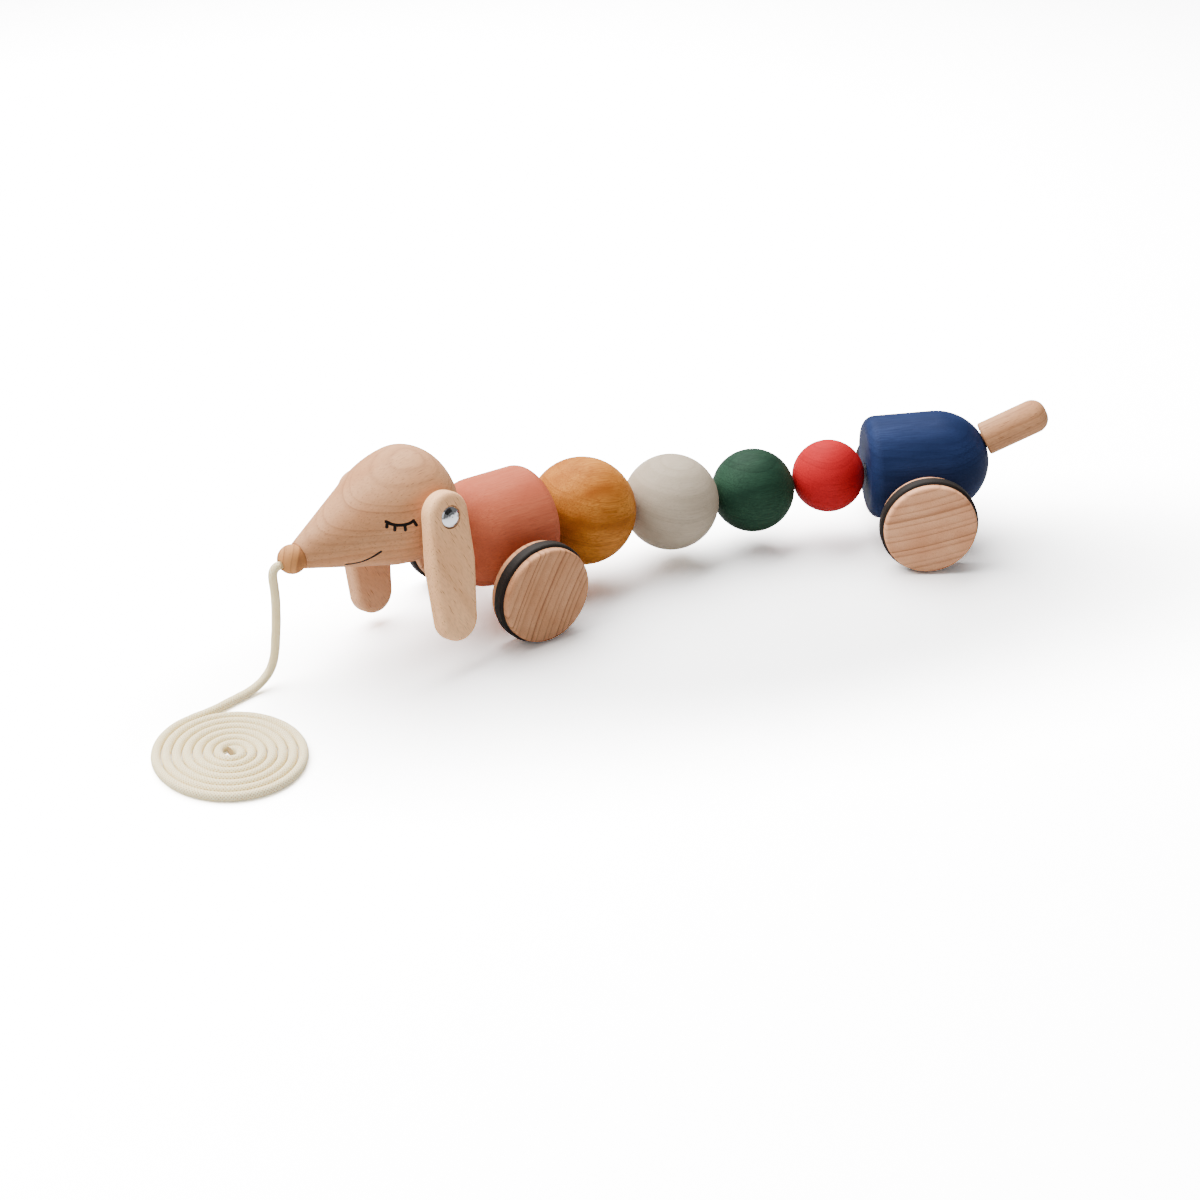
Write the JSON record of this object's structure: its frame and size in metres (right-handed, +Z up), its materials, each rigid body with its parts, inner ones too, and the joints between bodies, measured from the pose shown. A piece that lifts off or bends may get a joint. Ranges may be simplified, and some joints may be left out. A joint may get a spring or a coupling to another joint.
{
  "type": "wheeled pull toy",
  "caption": "Wooden sausage-dog pull toy: tapered head with swinging ears, bodies and graded beads strung on an elastic cord, wheels with rubber rings, tail dowel and a cotton pull cord.",
  "frame": {"origin": "on the floor straight below the middle of the front axle", "axes": "+Z up, +X towards the tail along the toy's overall length, so the dog faces -X and its left side is -Y"},
  "size_m": [0.3936, 0.1527, 0.0806],
  "materials": {
    "terracotta_wood": "thin terracotta stain, satin, grain showing",
    "navy_wood": "thin navy stain, satin, grain showing",
    "beech": "natural beech, sanded and oiled",
    "mustard_wood": "thin mustard stain, satin, grain showing",
    "grey_wood": "thin warm grey stain, satin, grain showing",
    "green_wood": "thin dark green stain, satin, grain showing",
    "red_wood": "thin red stain, satin, grain showing",
    "rubber_ring": "matte black rubber",
    "chrome_pin": "polished",
    "washer": "plain",
    "elastic": "covered elastic cord",
    "cotton": "braided cotton cord"
  },
  "bodies": {
    "front_body": {"front_body": "terracotta_wood", "neck_peg": "beech", "front_cord": "elastic", "front_knot": "elastic", "front_plug": "terracotta_wood", "pull_cord_coil": "cotton"},
    "head": {"head": "beech", "nose_bead": "beech", "ear_pins": "chrome_pin", "ear_washers": "washer", "pull_cord_knot": "cotton", "pull_cord": "cotton"},
    "left_ear": {"left_ear": "beech"},
    "right_ear": {"right_ear": "beech"},
    "front_wheels": {"front_axle": "beech", "front_left_wheel": "beech", "front_right_wheel": "beech", "front_left_tyre": "rubber_ring", "front_right_tyre": "rubber_ring"},
    "mustard_link": {"mustard_cord": "elastic"},
    "grey_link": {"grey_cord": "elastic"},
    "green_link": {"green_cord": "elastic"},
    "red_link": {"red_cord": "elastic"},
    "mustard_bead": {"mustard_bead": "mustard_wood"},
    "grey_bead": {"grey_bead": "grey_wood"},
    "green_bead": {"green_bead": "green_wood"},
    "red_bead": {"red_bead": "red_wood"},
    "rear_body": {"rear_body": "navy_wood", "tail": "beech", "tail_peg": "beech", "rear_cord": "elastic", "rear_knot": "elastic", "rear_plug": "navy_wood"},
    "rear_wheels": {"rear_axle": "beech", "rear_left_wheel": "beech", "rear_right_wheel": "beech", "rear_left_tyre": "rubber_ring", "rear_right_tyre": "rubber_ring"}
  },
  "joints": [
    {"name": "head_turn", "type": "hinge", "parent": "front_body", "child": "head", "pos_m": [-0.00527, -0.00158, 0.0356], "axis": [-0.7941, -0.2382, 0.5592], "range_deg": [-25, 5], "deforming": ["pull_cord"]},
    {"name": "left_ear_swing", "type": "hinge", "parent": "head", "child": "left_ear", "pos_m": [-0.03129, -0.03347, 0.0615], "axis": [-0.3843, 0.9096, -0.1582], "range_deg": [-10, 265]},
    {"name": "right_ear_swing", "type": "hinge", "parent": "head", "child": "right_ear", "pos_m": [-0.04904, 0.00856, 0.05419], "axis": [-0.3843, 0.9096, -0.1582], "range_deg": [-10, 265]},
    {"name": "front_wheels_spin", "type": "hinge", "parent": "front_body", "child": "front_wheels", "pos_m": [0, 0, 0.0206], "axis": [-0.2874, 0.9578, 0], "continuous": true},
    {"name": "mustard_bend", "type": "hinge", "parent": "front_body", "child": "mustard_link", "pos_m": [0.01959, 0.00588, 0.0356], "axis": [0, 0, 1], "range_deg": [-7, 17]},
    {"name": "mustard_bead_spin", "type": "hinge", "parent": "mustard_link", "child": "mustard_bead", "pos_m": [0.04154, 0.01042, 0.03198], "axis": [0.9667, 0.2002, -0.1593], "continuous": true},
    {"name": "grey_bend", "type": "hinge", "parent": "mustard_link", "child": "grey_link", "pos_m": [0.0633, 0.01493, 0.0284], "axis": [0, 0, 1], "range_deg": [-7, 17]},
    {"name": "grey_bead_spin", "type": "hinge", "parent": "grey_link", "child": "grey_bead", "pos_m": [0.08357, 0.01731, 0.0264], "axis": [0.9884, 0.1161, -0.0976], "continuous": true},
    {"name": "green_bend", "type": "hinge", "parent": "grey_link", "child": "green_link", "pos_m": [0.10381, 0.01969, 0.0244], "axis": [0, 0, 1], "range_deg": [-0.9, 23.1]},
    {"name": "green_bead_spin", "type": "hinge", "parent": "green_link", "child": "green_bead", "pos_m": [0.12172, 0.01831, 0.0254], "axis": [0.9955, -0.0766, 0.0556], "continuous": true},
    {"name": "red_bend", "type": "hinge", "parent": "green_link", "child": "red_link", "pos_m": [0.13961, 0.01693, 0.0264], "axis": [0, 0, 1], "range_deg": [-0.9, 23.1]},
    {"name": "red_bead_spin", "type": "hinge", "parent": "red_link", "child": "red_bead", "pos_m": [0.15446, 0.01281, 0.02945], "axis": [0.9453, -0.2622, 0.1941], "continuous": true},
    {"name": "rear_bend", "type": "hinge", "parent": "red_link", "child": "rear_body", "pos_m": [0.16943, 0.00866, 0.03252], "axis": [0, 0, 1], "range_deg": [-10, 14]},
    {"name": "rear_wheels_spin", "type": "hinge", "parent": "rear_body", "child": "rear_wheels", "pos_m": [0.19084, 0.00191, 0.0206], "axis": [0.3007, 0.9537, 0], "continuous": true}
  ]
}
